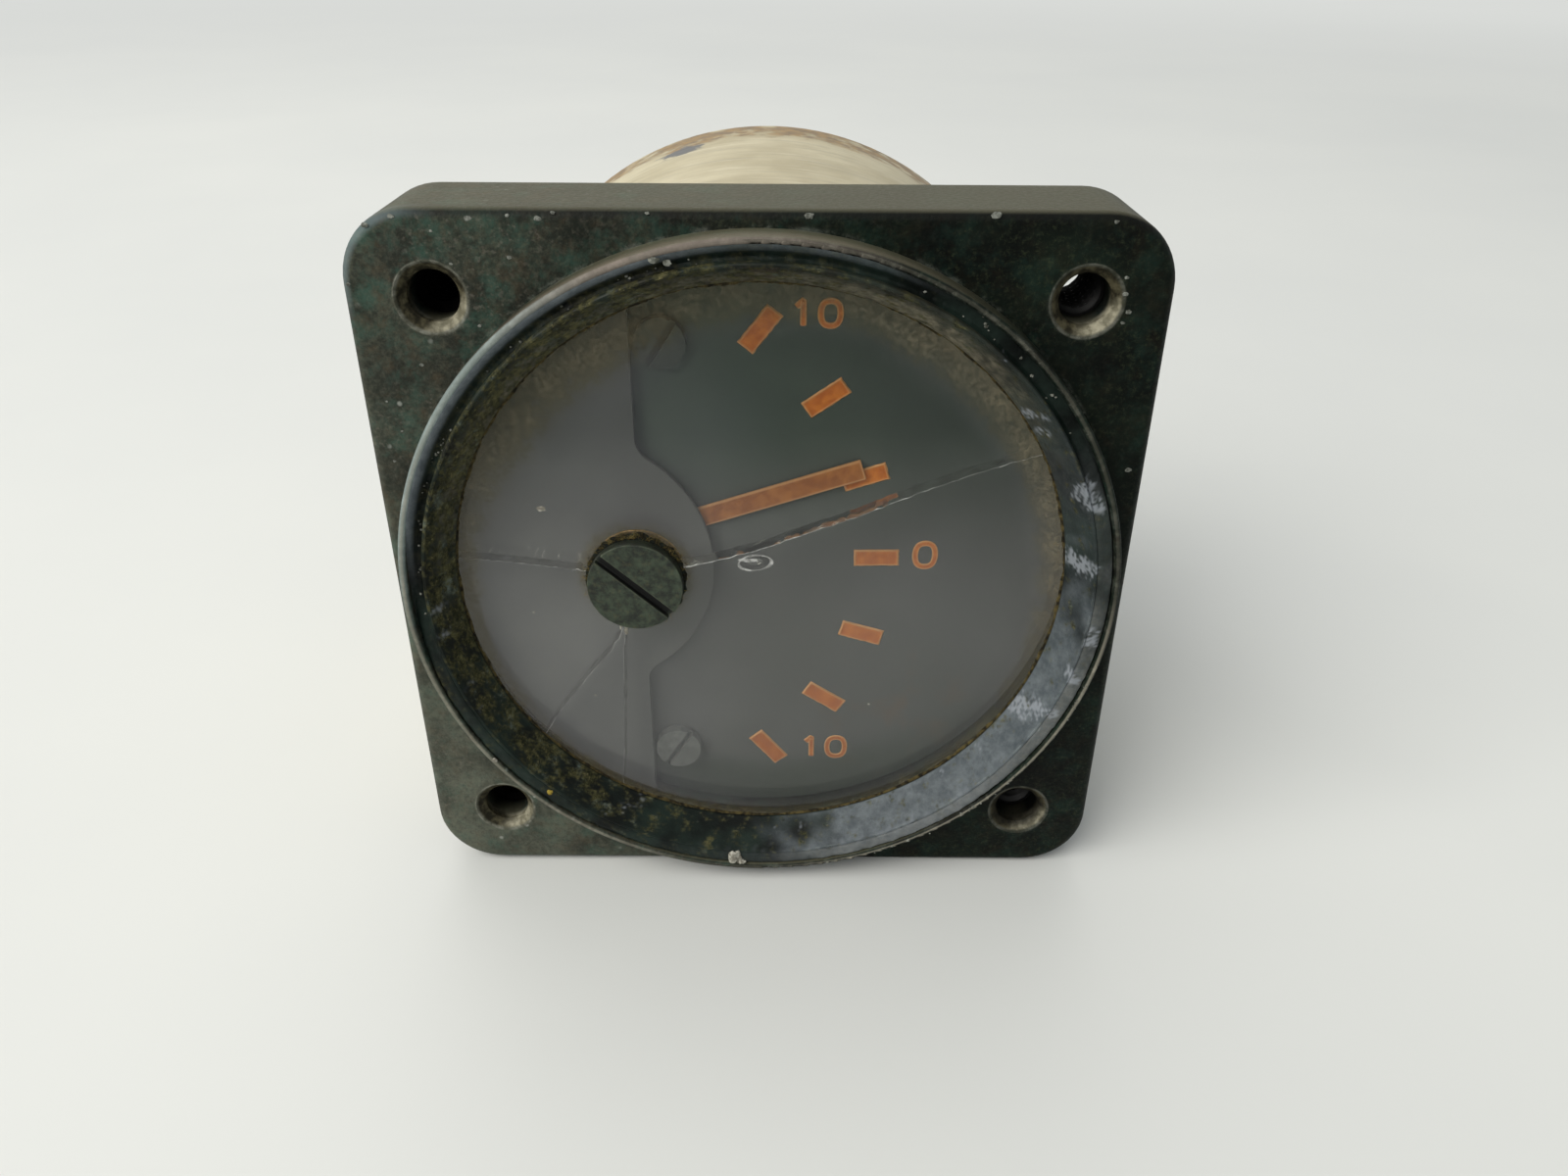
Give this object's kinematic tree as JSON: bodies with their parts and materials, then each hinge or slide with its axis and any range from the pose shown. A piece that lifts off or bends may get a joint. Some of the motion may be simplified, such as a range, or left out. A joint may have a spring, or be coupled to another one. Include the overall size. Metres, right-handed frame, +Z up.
{
  "type": "trim indicator",
  "caption": "Panel instrument with a square screw-down flange, coned window ring, off-centre pointer over a marked dial, slotted zero adjuster and a drum-shaped rear case with stud terminals.",
  "frame": {"origin": "centre of the four panel screw holes, on the flange's rear face", "axes": "+Z up the dial, +X to the right as seen from the front, +Y from the dial towards the rear of the case"},
  "size_m": [0.0604, 0.0597, 0.0604],
  "materials": {
    "flange_paint": "worn satin black paint",
    "ring_paint": "worn satin black paint",
    "window_pane": "hazy and cracked",
    "black_rubber": "matt",
    "adjuster_paint": "worn satin black paint",
    "brass": "turned",
    "spring_bronze": "rolled",
    "dial_paint": "matt dark grey paint",
    "mask_paint": "matt dark grey paint",
    "orange_paint": "matt orange paint",
    "pointer_paint": "painted matt orange",
    "steel": "turned",
    "tinned_brass": "tinned",
    "copper_wire": "enamelled wire",
    "aluminium": "mill finish",
    "soft_iron": "plain",
    "case_paint": "aged cream paint",
    "phenolic": "moulded",
    "resistor_enamel": "vitreous enamel",
    "lead_sleeve": "woven sleeve"
  },
  "bodies": {
    "housing": {"bezel_flange": "flange_paint", "retaining_ring": "ring_paint", "window": "window_pane", "window_gasket": "black_rubber", "adjuster_gasket": "black_rubber", "adjuster_washer": "spring_bronze", "mask_plate": "mask_paint", "mask_bushes": "brass", "mask_screws": "brass", "dial_plate": "dial_paint", "dial_marks": "orange_paint", "dial_screws": "dial_paint", "dial_posts": "brass", "rear_hairspring": "spring_bronze", "front_jewel_screw": "brass", "rear_jewel_screw": "brass", "front_bridge": "brass", "front_pillars": "brass", "front_bridge_screws": "steel", "rear_bridge": "brass", "rear_pillars": "brass", "rear_bridge_screws": "steel", "rear_spring_post": "brass", "yoke": "soft_iron", "core_magnet": "soft_iron", "core_spacers": "brass", "core_screws": "brass", "pointer_stops": "steel", "movement_plate": "aluminium", "plate_screws": "steel", "case_gasket": "black_rubber", "rear_case": "case_paint", "case_pillars": "brass", "board_pillars": "brass", "resistor_board": "phenolic", "series_resistor": "resistor_enamel", "case_screws": "steel", "case_washers": "black_rubber", "terminal_bushes": "phenolic", "terminal_insulators": "phenolic", "terminal_studs": "brass", "terminal_nuts": "brass", "terminal_washers": "tinned_brass", "solder_tags": "tinned_brass", "leads": "lead_sleeve"},
    "pointer_and_coil": {"pointer": "pointer_paint", "balance_weights": "brass", "front_staff": "steel", "rear_staff": "steel", "coil_former": "aluminium", "coil_winding": "copper_wire"},
    "adjuster": {"zero_adjuster": "adjuster_paint", "adjuster_crank": "brass"},
    "lever": {"zero_lever": "spring_bronze", "front_hairspring": "spring_bronze"}
  },
  "joints": [
    {"name": "pointer_swing", "type": "hinge", "parent": "housing", "child": "pointer_and_coil", "pos_m": [-0.016, 0, 0], "axis": [0, -1, 0], "range_deg": [-73.1, 36.9], "stiffness_Nm_per_rad": 0.0001, "deforming": ["front_hairspring", "rear_hairspring"]},
    {"name": "adjuster_turn", "type": "hinge", "parent": "housing", "child": "adjuster", "pos_m": [-0.01035, 0, 0], "axis": [0, -1, 0], "range_deg": [-50, 50]},
    {"name": "lever_swing", "type": "hinge", "parent": "housing", "child": "lever", "pos_m": [-0.016, 0, 0], "axis": [0, -1, 0], "range_deg": [-9, 9]}
  ],
  "couplings": [
    {"joint": "lever_swing", "follows": "adjuster_turn", "ratio": 0.168}
  ]
}
